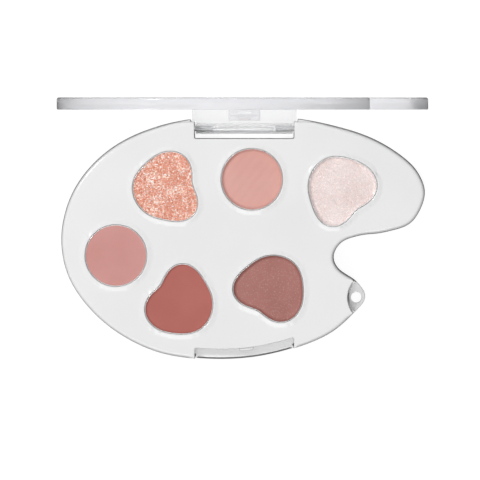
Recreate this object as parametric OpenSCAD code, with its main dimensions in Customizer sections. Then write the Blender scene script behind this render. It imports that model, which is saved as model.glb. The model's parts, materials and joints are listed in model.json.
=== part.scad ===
// Eyeshadow palette shaped like a painter's palette, in millimetres.
// A lower case with a keyring lug carries a tray, six metal pans of pressed powder and the
// hinge. A clear lid turns on two knurled pins at the back and snaps shut at the front.
// Origin: middle of the underside. +Z is up and the hinge is at the back (+Y).
// The lid is drawn open at a right angle, resting on its stop.

/* [Case] */
// Height of the lower case, up to the joint with the tray
case_h = 8.0; // [7.6:0.1:8.2]
// Thickness of the case floor
floor_t = 1.4; // [1.0:0.1:1.8]
// Thickness of the case's outer wall
wall_t = 1.8; // [1.4:0.1:2.0]
// Height of the ledge in the finger recess at the front
ledge_h = 6.2; // [4.5:0.1:6.4]

/* [Tray] */
// Height of the tray's rim, on which the lid closes
rim_h = 9.8; // [9.6:0.1:9.8]
// Rise of the raised middle of the tray above its rim
plateau_rise = 0.4; // [0.2:0.1:0.6]
// Width of the rim around the raised middle
plateau_inset = 2.9; // [2.8:0.1:3.4]
// Thickness of the cups that hold the pans
cup_wall = 0.9; // [0.7:0.1:1.0]

/* [Pans] */
// Radius of the powder in a round pan
round_r = 9.0; // [8.8:0.1:9.4]
// Mean radius of the powder in a three-lobed pan
lobed_r = 9.75; // [9.6:0.05:10.2]
// Thickness of the metal
pan_wall = 0.3; // [0.2:0.05:0.4]
// Height of a pan
pan_h = 3.2; // [2.6:0.1:3.4]
// Gap between a pan and its well
pan_gap = 0.15; // [0.1:0.05:0.2]

/* [Lid] */
// Thickness of the closed lid, rim included
lid_h = 3.6; // [3.4:0.1:3.8]
// How far the lid stands out past the case all round
lid_over = 0.4; // [0.2:0.1:0.5]
// Width of the lid's rim
lid_rim = 2.6; // [2.4:0.1:2.8]
// Thickness of the lid's plate
lid_plate = 1.6; // [1.4:0.1:2.0]

/* [Hinge] */
// Width of the gap in the case that the lid's knuckle fills
hinge_w = 29.8; // [28.0:0.2:31.0]
// Outer radius of the knuckle
knuckle_r = 1.65; // [1.6:0.05:1.7]
// Radius of the smooth part of a hinge pin
pin_r = 0.8; // [0.7:0.05:0.8]
// Clearance of the pins in the case, on the radius
pin_play = 0.05; // [0.03:0.01:0.08]

/* [Latch and lug] */
// Width of the snap tab under the lid's front edge
tab_w = 9.2; // [8.0:0.2:12.0]
// Length of the snap tab
tab_drop = 3.3; // [3.0:0.1:3.4]
// Width of the finger recess
recess_w = 29.6; // [28.0:0.2:31.0]
// Radius of the keyring hole
lug_hole_r = 1.65; // [1.4:0.05:1.7]
// Thickness of the keyring lug
lug_h = 3.0; // [2.0:0.1:3.4]

/* [Hidden] */
$fn = 64;
eps = 0.01;
far = 100;

// The outline of the case, anticlockwise from the tip of the right lobe, past the back,
// the left end, the front, the keyring lug and the thumb notch
outline_knots = [
    [55.0, 13.0], [53.0, 20.0], [47.5, 25.5], [39.0, 30.5], [28.5, 34.0], [15.5, 36.5],
    [1.0, 37.0], [-13.5, 36.5], [-26.0, 34.0], [-37.5, 29.0], [-46.5, 21.5], [-52.5, 12.0],
    [-55.0, 0.5], [-53.0, -11.0], [-46.5, -21.0], [-37.0, -29.0], [-25.0, -34.5],
    [-11.0, -36.5], [3.0, -36.0], [16.0, -33.0], [26.5, -28.5], [34.0, -22.0],
    [37.0, -17.5], [34.5, -13.0], [29.0, -9.0], [27.5, -5.0], [30.0, -1.0], [35.5, 1.0],
    [43.0, 2.0], [51.0, 5.0]];
outline_steps = 4;
// Step that takes the sharp edge off the case, the tray and the lid
edge_step = 0.4;

// A three-lobed pan is a circle with waves on it: waves round the pan, height, phase
lobe_waves = [[2, 0.64, -115], [3, 0.97, 109], [4, 0.32, -24], [5, 0.10, -101]];
lobe_step = 6;

// Shades: name, centre of the pan, turn of the pan, three-lobed or round, sink of the powder
shades = [
    ["soft_pink", [2.7, 18.1], 0, false, 0.7],
    ["dusty_rose", [-38.3, -4.9], 0, false, 0.1],
    ["coral_glitter", [-23.2, 15.5], 228, true, 0.2],
    ["pale_shimmer", [29.3, 15.2], 167, true, 0.5],
    ["brick_red", [-18.8, -19.0], 0, true, 0.4],
    ["mauve_brown", [8.6, -14.6], 98, true, 0.6]];

// Heights of what stands in a well
pad_t = 0.3;
pan_top = rim_h + 0.1;
pan_floor = pan_top - pan_h;
well_floor = pan_floor - pad_t;
cup_floor_t = 0.9;

// Hinge
axis_y = 33.4;
axis_z = 4.2;
hinge_x = 0.4;
hinge_front = 30.5;
ear_back = axis_y + 2.1;
arm_w = hinge_w + 2.4;
arm_side_gap = 0.3;
swing_r = rim_h - axis_z;
knurl_r = 0.9;
knurl_l = 4.6;
knurl_teeth = 24;
pin_l = 14.6;
pin_socket_l = 6.1;
pin_inset = 0.6;

// Lid, closed
lid_gap = 0.15;
lid_bottom = rim_h + lid_gap;
lid_top = lid_bottom + lid_h;
lid_back = axis_y + 3.8;
arm_front = axis_y + 2.35;
arm_low = axis_z + 2.2;
web_front = axis_y + 0.9;

// Snap tab, its bead and the catch under which the bead snaps
latch_x = 0.4;
recess_depth = 3.3;
recess_setback = 0.2;
tab_front = 1.0;
tab_back = 2.2;
bead_w = 3.8;
bead_reach = 0.25;
bead_drop = 2.7;
bead_h = 0.5;
catch_w = 4.4;
catch_reach = 0.65;
catch_low = 8.2;
catch_h = 1.0;

// Keyring lug: its hole, and the hollow above it that gives the ring room and widens upwards
lug_at = [34.3, -17.7];
lug_clear_at = [39.3, -17.6];
lug_clear_r = 6.7;
lug_draft = 0.16;

// Posts in the case that take the tray's pegs
posts = [[-10, 0], [20, 1], [46, 14], [-42, 12], [20, -25], [-37, -21]];
post_r = 2;
post_top = 7.4;
peg_r = 0.95;
peg_hole_r = 1;
peg_l = 4;

// Blank label in a shallow pocket under the case
label_at = [-24, 0];
label_size = [36, 24];
label_pocket = 0.3;
label_t = 0.15;
label_r = 2;
label_margin = 0.2;

// Item i of a closed list, wrapping round at both ends
function around(list, i) = list[(i + len(list)) % len(list)];

// A point on the smooth curve from b to c, with a before b and d after c
function curve_point(a, b, c, d, t) =
    0.5 * (2 * b + (c - a) * t + (2 * a - 5 * b + 4 * c - d) * t * t
           + (3 * b - a - 3 * c + d) * t * t * t);

// A smooth closed curve through the knots
function curve_through(knots, steps) = [
    for (i = [0 : len(knots) - 1])
        for (j = [0 : steps - 1])
            curve_point(around(knots, i - 1), around(knots, i), around(knots, i + 1),
                        around(knots, i + 2), j / steps)];

// An anticlockwise loop moved inwards by d
function inset_loop(loop, d) = [
    for (i = [0 : len(loop) - 1])
        let (t = around(loop, i + 1) - around(loop, i - 1))
            loop[i] + d * [-t.y, t.x] / norm(t)];

function total(list) = list * [for (item = list) 1];

function lobed_radius(a) =
    lobed_r + total([for (w = lobe_waves) w[1] * cos(w[0] * a + w[2])]);

function lobed_loop() = [for (a = [0 : lobe_step : 359]) lobed_radius(a) * [cos(a), sin(a)]];

case_loop = curve_through(outline_knots, outline_steps);

// A slab of the case's outline, moved inwards by d, from height z0 to z1
module outline_slab(d, z0, z1) {
    translate([0, 0, z0])
        linear_extrude(z1 - z0)
            polygon(inset_loop(case_loop, d));
}

// Everything between two insets of the outline, from z0 to z1, over a width w at x
module outline_band(d_out, d_in, z0, z1, x, w) {
    intersection() {
        difference() {
            outline_slab(d_out, z0, z1);
            outline_slab(d_in, z0 - eps, z1 + eps);
        }
        translate([x - w / 2, -far, z0 - eps])
            cube([w, far, z1 - z0 + 2 * eps]);
    }
}

// A pan-shaped slab for one shade, grown by d, from height z0 to z1
module pan_slab(s, d, z0, z1) {
    translate([s[1].x, s[1].y, z0])
        rotate([0, 0, s[2]])
            if (s[3]) {
                linear_extrude(z1 - z0)
                    polygon(inset_loop(lobed_loop(), -d));
            } else {
                cylinder(r = round_r + d, h = z1 - z0);
            }
}

// The gap at the back for the lid's knuckle
module knuckle_gap() {
    translate([hinge_x - hinge_w / 2, hinge_front, -1])
        cube([hinge_w, far, far]);
}

// The cut behind the knuckle's gap for the lid's arm, over a width w
module arm_gap(w) {
    translate([hinge_x - w / 2, ear_back, -1])
        cube([w, far, far]);
}

// The finger recess at the front, above height z0
module front_recess(z0) {
    outline_band(-1, recess_depth, z0, z0 + far, latch_x, recess_w);
}

// The hollow round the keyring lug, above height z0
module lug_clearance(z0, grow) {
    h = case_h + rim_h;
    r = lug_clear_r + grow + lug_draft * (z0 - lug_h);
    translate([lug_clear_at.x, lug_clear_at.y, z0])
        cylinder(r1 = r, r2 = r + lug_draft * h, h = h);
}

module hinge_rod(r, x0, x1) {
    translate([x0, axis_y, axis_z])
        rotate([0, 90, 0])
            cylinder(r = r, h = x1 - x0);
}

module base_case() {
    block_w = hinge_w + 18;
    color("white") difference() {
        union() {
            difference() {
                union() {
                    outline_slab(edge_step, 0, edge_step);
                    outline_slab(0, edge_step, case_h);
                }
                difference() {
                    outline_slab(wall_t, floor_t, case_h + 1);
                    translate([hinge_x - block_w / 2, hinge_front - 1.2, 0])
                        cube([block_w, far, far]);
                    outline_band(0, recess_depth + 1.2, 0, far, latch_x, recess_w + 3);
                    lug_clearance(0, 1.4);
                }
            }
            for (p = posts)
                translate([p.x, p.y, floor_t - eps])
                    cylinder(r = post_r, h = post_top - floor_t);
        }
        knuckle_gap();
        arm_gap(arm_w);
        front_recess(ledge_h);
        outline_band(-1, recess_setback, -1, far, latch_x, recess_w);
        lug_clearance(lug_h, 0);
        translate([lug_at.x, lug_at.y, -1])
            cylinder(r = lug_hole_r, h = far);
        hinge_rod(pin_r + pin_play, hinge_x - far, hinge_x + far);
        for (p = posts)
            translate([p.x, p.y, post_top - peg_l - 0.4])
                cylinder(r = peg_hole_r, h = far);
        translate([label_at.x, label_at.y, -eps])
            label_slab(label_margin, label_pocket + eps);
    }
}

module tray() {
    color("white") union() {
        difference() {
            tray_plate();
            knuckle_gap();
            arm_gap(2 * far);
            lid_swing();
            front_recess(case_h - 1);
            lug_clearance(case_h - 1, 0);
        }
        catch_nub();
        for (p = posts)
            translate([p.x, p.y, case_h - peg_l])
                cylinder(r = peg_r, h = peg_l + 0.5);
    }
}

// What the closing lid would touch behind the hinge's axis
module lid_swing() {
    difference() {
        translate([-far, axis_y, 0])
            cube([2 * far, far, far]);
        hinge_rod(swing_r, -2 * far, 2 * far);
    }
}

// The tray's plate with its six wells
module tray_plate() {
    difference() {
        union() {
            outline_slab(0, case_h, rim_h - edge_step);
            outline_slab(edge_step, rim_h - edge_step, rim_h);
            outline_slab(plateau_inset, rim_h, rim_h + plateau_rise);
            for (s = shades)
                pan_slab(s, pan_wall + pan_gap + cup_wall, well_floor - cup_floor_t, case_h + 1);
        }
        for (s = shades)
            pan_slab(s, pan_wall + pan_gap, well_floor, far);
    }
}

// The nub on the tray's front edge that the lid's bead snaps under
module catch_nub() {
    outline_band(recess_depth - catch_reach, recess_depth + 0.5, catch_low, catch_low + catch_h,
                 latch_x + 0.6, catch_w);
}

// Turns what is drawn closed over to the open lid's place
module opened() {
    translate([0, axis_y, axis_z])
        rotate([-90, 0, 0])
            translate([0, -axis_y, -axis_z])
                children();
}

module lid() {
    color([0.90, 0.90, 0.95, 0.4]) opened() difference() {
        union() {
            difference() {
                union() {
                    outline_slab(-lid_over, lid_bottom, lid_top - edge_step);
                    outline_slab(edge_step - lid_over, lid_top - edge_step, lid_top);
                }
                difference() {
                    outline_slab(lid_rim - lid_over, 0, lid_top - lid_plate);
                    translate([-far, arm_front - 0.4, 0])
                        cube([2 * far, far, far]);
                }
                translate([-far, lid_back, 0])
                    cube([2 * far, far, far]);
            }
            translate([hinge_x - arm_w / 2 + arm_side_gap, arm_front, arm_low])
                cube([arm_w - 2 * arm_side_gap, lid_back - arm_front, lid_bottom - arm_low + eps]);
            translate([hinge_x - hinge_w / 2 + arm_side_gap, web_front, axis_z])
                cube([hinge_w - 2 * arm_side_gap, lid_back - web_front,
                      lid_bottom - axis_z + eps]);
            hinge_rod(knuckle_r, hinge_x - hinge_w / 2 + arm_side_gap,
                      hinge_x + hinge_w / 2 - arm_side_gap);
            outline_band(tab_front, tab_back, lid_bottom - tab_drop, lid_bottom + eps,
                         latch_x, tab_w);
            outline_band(tab_back - eps, tab_back + bead_reach, lid_bottom - bead_drop - bead_h,
                         lid_bottom - bead_drop, latch_x, bead_w);
        }
        hinge_rod(knurl_r, -far, hinge_x - hinge_w / 2 + pin_socket_l);
        hinge_rod(knurl_r, hinge_x + hinge_w / 2 - pin_socket_l, far);
    }
}

// A hinge pin whose knurled end is at x and whose smooth end points along dir, 1 or -1
module hinge_pin(x, dir) {
    translate([x, axis_y, axis_z])
        rotate([0, 90 * dir, 0]) {
            linear_extrude(knurl_l)
                polygon([for (i = [0 : 2 * knurl_teeth - 1])
                    (i % 2 == 0 ? knurl_r : pin_r) * [cos(i * 180 / knurl_teeth),
                                                      sin(i * 180 / knurl_teeth)]]);
            cylinder(r = pin_r, h = pin_l);
        }
}

module hinge_pin_left() {
    color("silver") hinge_pin(hinge_x - hinge_w / 2 + pin_socket_l - pin_inset, -1);
}

module hinge_pin_right() {
    color("silver") hinge_pin(hinge_x + hinge_w / 2 - pin_socket_l + pin_inset, 1);
}

// A round-cornered slab the size of the label, grown by d
module label_slab(d, h) {
    w = label_size.x + 2 * d;
    l = label_size.y + 2 * d;
    r = label_r + d;
    union() {
        translate([-w / 2 + r, -l / 2, 0])
            cube([w - 2 * r, l, h]);
        translate([-w / 2, -l / 2 + r, 0])
            cube([w, l - 2 * r, h]);
        for (x = [-1, 1])
            for (y = [-1, 1])
                translate([x * (w / 2 - r), y * (l / 2 - r), 0])
                    cylinder(r = r, h = h);
    }
}

module bottom_label() {
    color("whitesmoke") translate([label_at.x, label_at.y, label_pocket - label_t])
        label_slab(0, label_t);
}

module pan(s) {
    color("lightgray") difference() {
        pan_slab(s, pan_wall, pan_floor, pan_top);
        pan_slab(s, 0, pan_floor + pan_wall, pan_top + 1);
    }
}

module powder(s) {
    tint = s[0] == "soft_pink" ? "#D8A79E"
         : s[0] == "dusty_rose" ? "#CC948E"
         : s[0] == "coral_glitter" ? "#E5B0A0"
         : s[0] == "pale_shimmer" ? "#EDDAD7"
         : s[0] == "brick_red" ? "#B06A62"
         : "#A6746E";
    color(tint) pan_slab(s, 0, pan_floor + pan_wall, pan_top - s[4]);
}

module glue_pad(s) {
    color("ivory") translate([s[1].x, s[1].y, well_floor])
        cylinder(r = 6, h = pad_t);
}

base_case();
tray();
lid();
hinge_pin_left();
hinge_pin_right();
bottom_label();
for (s = shades) {
    pan(s);
    powder(s);
    glue_pad(s);
}
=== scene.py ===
import json
import math

import bmesh
import bpy
import numpy as np
from mathutils import Matrix, Vector
from mathutils.geometry import delaunay_2d_cdt


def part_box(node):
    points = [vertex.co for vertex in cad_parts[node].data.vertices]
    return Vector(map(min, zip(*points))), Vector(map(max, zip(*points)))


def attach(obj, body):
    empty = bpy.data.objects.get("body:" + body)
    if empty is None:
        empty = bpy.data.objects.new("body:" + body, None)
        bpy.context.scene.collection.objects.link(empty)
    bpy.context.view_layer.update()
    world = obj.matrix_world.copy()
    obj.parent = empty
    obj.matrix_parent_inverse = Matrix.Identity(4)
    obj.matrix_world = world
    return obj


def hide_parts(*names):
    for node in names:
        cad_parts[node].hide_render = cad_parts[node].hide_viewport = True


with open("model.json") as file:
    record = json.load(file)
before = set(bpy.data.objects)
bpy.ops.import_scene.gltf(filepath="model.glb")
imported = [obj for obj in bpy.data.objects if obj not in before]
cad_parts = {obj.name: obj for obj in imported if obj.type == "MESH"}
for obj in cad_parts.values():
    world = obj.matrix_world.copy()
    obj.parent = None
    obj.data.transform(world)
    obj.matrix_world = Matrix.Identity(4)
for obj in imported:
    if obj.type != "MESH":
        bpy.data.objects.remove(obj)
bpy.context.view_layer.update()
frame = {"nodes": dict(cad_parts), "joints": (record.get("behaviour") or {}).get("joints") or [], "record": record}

MM = 0.001
scene = bpy.context.scene


# ---- sizes, in millimetres

def node_box(name):
    low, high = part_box(name)
    return np.array(low) / MM, np.array(high) / MM


hinge_x, axis_y, axis_z = (v / MM for v in frame["joints"][0]["pos_m"])
lug_hole = next(m for m in frame["record"]["mounts"] if m["name"] == "lug_hole")
lug_x, lug_y = (v / MM for v in lug_hole["pos_m"][:2])
lug_r = lug_hole["dims"]["r_mm"]
lug_h = lug_hole["dims"]["length_mm"]

case_h = node_box("base_case")[1][2]
tray_high = node_box("tray")[1]
plateau_rise = 0.4
rim_h = tray_high[2] - plateau_rise
ear_back = tray_high[1]
plateau_inset = 2.9
swing_r = rim_h - axis_z

lid_low, lid_high = node_box("lid")
lid_top = lid_high[1] - axis_y + axis_z
lid_h = 3.6
lid_bottom = lid_top - lid_h
lid_back = axis_y + axis_z - lid_low[2]
lid_plate = 1.6
lid_over = 0.4
lid_rim = 2.6

hinge_w = 29.8
hinge_front = 30.5
hinge_block = 9
arm_w = hinge_w + 2.4
arm_front = axis_y + 2.35
arm_low = axis_z + 2.2
web_front = axis_y + 0.9
side_gap = 0.3
knuckle_r = axis_y - lid_low[1]
socket_l = 6.1
socket_r = 0.95
bore_r = 0.85
pin_r = 0.8

# Finger recess, tab, bead and catch: their depths are measured in from the outline
latch_x = 0.4
recess_w = 29.6
recess_depth = 3.3
recess_setback = 0.2
ledge_h = 6.2
tab_w = 9.2
tab_front, tab_back = 1.0, 2.16
tab_drop = 3.3
bead_w = 3.8
bead_front, bead_back = 1.9, 2.45
bead_h = 0.5
catch_x = latch_x + 0.6
catch_w = 4.4
catch_reach = 0.65
catch_low = 8.2
catch_h = 1.0

# The hollow round the keyring lug
clear_x, clear_y, clear_r = lug_x + 5.0, lug_y + 0.1, 6.7

# How far each kind of wall leans inwards for each millimetre of height
LEAN_OUTLINE = 0.03
LEAN_CUT = 0.02
LEAN_LUG = 0.16

wall_t = 1.8
floor_t = 1.4
# Soft edge on each side of the joint between case and tray: inset, and distance from the joint
seam = [(0, 0.14), (0.03, 0.03), (0.16, 0)]

# Posts in the case with a hole for the tray's pegs
posts = [(-10, 0), (20, 1), (46, 14), (-42, 12), (20, -25), (-37, -21)]
post_wall = 1.0
post_top = 7.4
peg_hole_floor = 3.0
peg_r = 0.95
peg_l = 4.0

pan_top = node_box("pan_soft_pink")[1][2]
pan_floor = node_box("pan_soft_pink")[0][2]
pan_wall = 0.3
pan_gap = 0.15
cup_wall = 0.9
glue_t = 0.3
well_floor = pan_floor - glue_t


# ---- loops and distances

def smooth_loop(loop, steps):
    """A smooth closed curve through the points of a loop, with steps points for each."""
    a, b, c, d = (np.roll(loop, k, 0) for k in (1, 0, -1, -2))
    out = [0.5 * (2 * b + (c - a) * t + (2 * a - 5 * b + 4 * c - d) * t * t
                  + (3 * b - a - 3 * c + d) * t ** 3) for t in np.arange(steps) / steps]
    return np.stack(out, 1).reshape(-1, 2)


def flat_loop(obj, axis, at, keep):
    """The points, in order, round a CAD node's flat faces at one height along an axis."""
    bm = bmesh.new()
    bm.from_mesh(obj.data)
    bmesh.ops.remove_doubles(bm, verts=bm.verts, dist=1e-7)
    flat = {f for f in bm.faces if all(abs(v.co[axis] / MM - at) < 0.01 for v in f.verts)}
    ends = {}
    for e in bm.edges:
        if sum(f in flat for f in e.link_faces) == 1:
            for v, w in (e.verts, reversed(e.verts)):
                ends.setdefault(v.index, []).append(w)
    start = next(iter(ends))
    order, last, now = [], None, start
    bm.verts.ensure_lookup_table()
    while True:
        order.append(keep(bm.verts[now].co / MM))
        step = [w.index for w in ends[now] if w.index != last]
        last, now = now, step[0]
        if now == start:
            break
    bm.free()
    return anticlockwise(np.array(order))


def anticlockwise(loop):
    nxt = np.roll(loop, -1, 0)
    area = (loop[:, 0] * nxt[:, 1] - nxt[:, 0] * loop[:, 1]).sum()
    return loop if area > 0 else loop[::-1]


def round_loop(sides):
    """Points round a circle of radius 1, which are its outward normals too."""
    turns = np.arange(sides) * 2 * np.pi / sides
    return np.stack([np.cos(turns), np.sin(turns)], 1)


def inside(points, loop):
    """Which points lie inside a loop."""
    a, b = loop, np.roll(loop, -1, 0)
    rise = np.where(b[:, 1] == a[:, 1], 1e-12, b[:, 1] - a[:, 1])
    out = np.empty(len(points), bool)
    for i in range(0, len(points), 4000):
        x, y = points[i:i + 4000, :1], points[i:i + 4000, 1:]
        over = (a[:, 1] <= y) != (b[:, 1] <= y)
        left = x < a[:, 0] + (y - a[:, 1]) * (b[:, 0] - a[:, 0]) / rise
        out[i:i + 4000] = (over & left).sum(1) % 2 == 1
    return out


def loop_distance(points, loop):
    """The distance of each point from a loop, negative inside it."""
    a = loop
    e = np.roll(loop, -1, 0) - a
    near = np.empty(len(points))
    for i in range(0, len(points), 4000):
        w = points[i:i + 4000, None] - a
        t = np.clip((w * e).sum(2) / (e * e).sum(1), 0, 1)
        near[i:i + 4000] = np.sqrt(((w - t[..., None] * e) ** 2).sum(2).min(1))
    return np.where(inside(points, loop), -near, near)


def both(a, b, r=0.4):
    """The overlap of two regions, with its new corners rounded."""
    return np.minimum(-r, np.maximum(a, b)) + np.hypot(np.maximum(r + a, 0),
                                                       np.maximum(r + b, 0))


def either(a, b, r=0.4):
    return -both(-a, -b, r)


def without(a, b, r=0.4):
    return both(a, -b, r)


def rectangle(p, x0, x1, y0, y1, r=0.3):
    return both(np.abs(p[:, 0] - (x0 + x1) / 2) - (x1 - x0) / 2,
                np.abs(p[:, 1] - (y0 + y1) / 2) - (y1 - y0) / 2, r)


def circle(p, x, y, r):
    return np.hypot(p[:, 0] - x, p[:, 1] - y) - r


def slopes(field, p):
    """Which way a region's distance grows, at each point."""
    e = 0.01
    steps = np.split(field(np.vstack([p + (e, 0), p - (e, 0), p + (0, e), p - (0, e)])), 4)
    return np.stack([steps[0] - steps[1], steps[2] - steps[3]], 1) / (2 * e)


def onto(field, p, rounds=2):
    """The points moved onto the edge of a region."""
    e = 0.01
    for _ in range(rounds):
        here, right, up = np.split(field(np.vstack([p, p + (e, 0), p + (0, e)])), 3)
        g = np.stack([right - here, up - here], 1) / e
        p = p - (here / np.maximum((g * g).sum(1), 0.2))[:, None] * g
    return p


def respace(loop, gap, turn=0.0):
    """The loop with even points, closer where it turns: turn is in mm for each radian."""
    step = np.roll(loop, -1, 0) - loop
    length = np.hypot(*step.T)
    angle = np.arctan2(step[:, 1], step[:, 0])
    bend = np.abs((angle - np.roll(angle, 1) + np.pi) % (2 * np.pi) - np.pi)
    cost = length + turn * (bend + np.roll(bend, -1)) / 2
    along = np.concatenate([[0], np.cumsum(cost)])
    count = int(round(along[-1] / gap))
    at = np.arange(count) * along[-1] / count
    closed = np.vstack([loop, loop[:1]])
    return np.stack([np.interp(at, along, closed[:, k]) for k in (0, 1)], 1)


def trace(field, low, high, step=0.8, gap=0.5, turn=2.4):
    """The loops round the edge of a region: points and outward normals, longest loop first."""
    xs, ys = (np.arange(low[k], high[k] + step, step) for k in (0, 1))
    grid = np.stack(np.meshgrid(xs, ys, indexing="ij"), -1)
    value = field(grid.reshape(-1, 2)).reshape(grid.shape[:2]) + 1e-9
    links = {}

    def crossing(i, j, k):
        """The point on the grid edge from (i, j) along axis k."""
        i2, j2 = (i + 1, j) if k == 0 else (i, j + 1)
        t = value[i, j] / (value[i, j] - value[i2, j2])
        return grid[i, j] * (1 - t) + grid[i2, j2] * t

    solid = value < 0
    cells = solid[:-1, :-1].astype(int) + solid[1:, :-1] + solid[1:, 1:] + solid[:-1, 1:]
    for i, j in zip(*np.nonzero((cells > 0) & (cells < 4))):
        corners = [solid[i, j], solid[i + 1, j], solid[i + 1, j + 1], solid[i, j + 1]]
        edges = [(i, j, 0), (i + 1, j, 1), (i, j + 1, 0), (i, j, 1)]
        cut = [edges[k] for k in range(4) if corners[k] != corners[(k + 1) % 4]]
        pairs = [cut] if len(cut) == 2 else [cut[:2], cut[2:]]
        for a, b in pairs:
            links.setdefault(a, []).append(b)
            links.setdefault(b, []).append(a)
    loops = []
    while links:
        start = now = next(iter(links))
        chain = []
        while now in links:
            chain.append(now)
            ends = links.pop(now)
            now = next((e for e in ends if e in links), start)
        loops.append(np.array([crossing(*c) for c in chain]))
    made = []
    for loop in sorted(loops, key=len, reverse=True):
        loop = onto(field, respace(anticlockwise(loop), 0.2))
        loop = onto(field, respace(loop, gap, turn))
        normal = slopes(field, loop)
        made.append((loop, normal / np.hypot(*normal.T)[:, None]))
    return made


def room(loop, normal):
    """How far each point of a loop can move inwards without crossing the loop's other points."""
    count = len(loop)
    way = loop[:, None] - loop[None]
    into = (way * normal[:, None]).sum(2)
    apart = np.abs(np.arange(count)[:, None] - np.arange(count)[None])
    near = np.minimum(apart, count - apart) < 2
    reach = np.where(near | (into < 1e-6), np.inf, (way ** 2).sum(2) / (2 * np.maximum(into, 1e-6)))
    free = np.minimum(reach.min(1), 1e3)
    free = np.minimum.reduce([np.roll(free, k) for k in (-1, 0, 1)])
    return 0.85 * free


def ease(x, low, high):
    t = np.clip((x - low) / (high - low), 0, 1)
    return t * t * (3 - 2 * t)


# ---- building a skin

class Skin:
    """A closed skin made of rings of points, bands between rings, and flat or gently shaped fills."""

    def __init__(self):
        self.points, self.faces = [], []

    def ring(self, xy, z):
        first = len(self.points)
        z = np.broadcast_to(z, len(xy))
        self.points.extend(np.column_stack([xy, z]))
        return np.arange(first, first + len(xy))

    def band(self, a, b):
        a2, b2 = np.roll(a, -1), np.roll(b, -1)
        self.faces.extend(np.column_stack([a, a2, b2, b]).tolist())

    def wall(self, loop, normal, profile, first=None):
        """Rings along (inset, height) steps, joined by bands. Returns the first and the last."""
        start = last = first
        inwards, outwards = room(loop, normal), room(loop, -normal)
        for inset, z in profile:
            inset = np.clip(np.broadcast_to(inset, len(loop)), -outwards, inwards)
            xy = loop - normal * inset[:, None]
            now = self.ring(xy, z(xy) if callable(z) else z)
            if last is None:
                start = now
            else:
                self.band(last, now)
            last = now
        return start, last

    def fill(self, outer, holes=(), gap=2.0, height=None):
        """Triangles across a ring, round its holes, with points inside it at a given spacing."""
        rings = [outer, *holes]
        where = np.array(self.points)
        loops = [where[r][:, :2] for r in rings]
        low, high = loops[0].min(0), loops[0].max(0)
        xs = np.arange(low[0] + gap / 2, high[0], gap)
        ys = np.arange(low[1] + gap / 2, high[1], gap * 0.866)
        inner = np.array([(x + (k % 2) * gap / 2, y) for k, y in enumerate(ys) for x in xs])
        inner = inner.reshape(-1, 2)
        if len(inner):
            keep = loop_distance(inner, loops[0]) < -0.6 * gap
            for loop in loops[1:]:
                keep[keep] = loop_distance(inner[keep], loop) > 0.6 * gap
            inner = inner[keep]
        numbers = np.concatenate(rings)
        flat = np.vstack([*loops, inner])
        edges, first = [], 0
        for r in rings:
            k = np.arange(len(r)) + first
            edges += list(zip(k.tolist(), np.roll(k, -1).tolist()))
            first += len(r)
        if height is None:
            z = where[outer][:, 2].mean()
            z = np.full(len(inner), z)
        else:
            z = height(inner)
        new = self.ring(inner, z) if len(inner) else np.array([], int)
        numbers = np.concatenate([numbers, new])
        co, _, tris, origin, _, _ = delaunay_2d_cdt([Vector(p) for p in flat], edges, [], 0, 1e-7)
        tris = np.array([t for t in tris if len(t) == 3])
        middle = np.array([c[:] for c in co])[tris].mean(1)
        keep = inside(middle, loops[0])
        for loop in loops[1:]:
            keep &= ~inside(middle, loop)
        index = np.array([numbers[o[0]] if o else -1 for o in origin])
        picked = [t for t in index[tris[keep]].tolist() if len(set(t)) == 3 and min(t) >= 0]
        self.faces.extend(self.without_slivers(picked, rings))

    def without_slivers(self, triangles, rings):
        """Leaves out thin triangles that lie on the outside of a nearly straight run of a ring."""
        rim = {frozenset(e) for r in rings for e in zip(r.tolist(), np.roll(r, -1).tolist())}
        use = {}
        for t in triangles:
            for k in range(3):
                edge = frozenset((t[k - 1], t[k]))
                if edge in rim:
                    use.setdefault(edge, []).append(t)
        at = np.array(self.points)[:, :2]

        def area(t):
            a, b = at[t[1]] - at[t[0]], at[t[2]] - at[t[0]]
            return abs(a[0] * b[1] - a[1] * b[0])

        thin = {tuple(min(pair, key=area)) for pair in use.values() if len(pair) > 1}
        return [t for t in triangles if tuple(t) not in thin]

    def mesh(self, name, move=None):
        """The finished object, in metres."""
        mesh = bpy.data.meshes.new(name)
        points = np.array(self.points, float)
        if move is not None:
            points = move(points)
        mesh.from_pydata((points * MM).tolist(), [], self.faces)
        bm = bmesh.new()
        bm.from_mesh(mesh)
        bmesh.ops.remove_doubles(bm, verts=bm.verts, dist=2e-7)
        bmesh.ops.recalc_face_normals(bm, faces=bm.faces)
        bm.to_mesh(mesh)
        bm.free()
        return put(name, mesh)


def put(name, mesh):
    obj = bpy.data.objects.new(name, mesh)
    scene.collection.objects.link(obj)
    mesh.shade_smooth()
    return obj


def arc(r, z, across=0.0, upward=True, steps=5):
    """(inset, height) steps round an edge, from the wall at z -/+ r to the flat at z."""
    side = 1 if upward else -1
    turns = [math.pi / 2 * k / steps for k in range(steps + 1)]
    return [(across + r * (1 - math.cos(t)),
             lambda xy, t=t: z_of(z, xy) - side * r * (1 - math.sin(t))) for t in turns]


def z_of(z, xy):
    return z(xy) if callable(z) else z


def block(name, region, corners, spacing, profile, gap, move=None):
    """A solid over a region, found between two corners, with both ends of its wall filled."""
    skin = Skin()
    loop, normal = trace(region, *corners, *spacing)[0]
    for end in skin.wall(loop, normal, profile):
        skin.fill(end, gap=gap)
    return skin.mesh(name, move)


def hollow(profile):
    """The same profile for the wall of a hole or a hollow, whose insets go outwards."""
    return [(-inset, z) for inset, z in profile]


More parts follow.
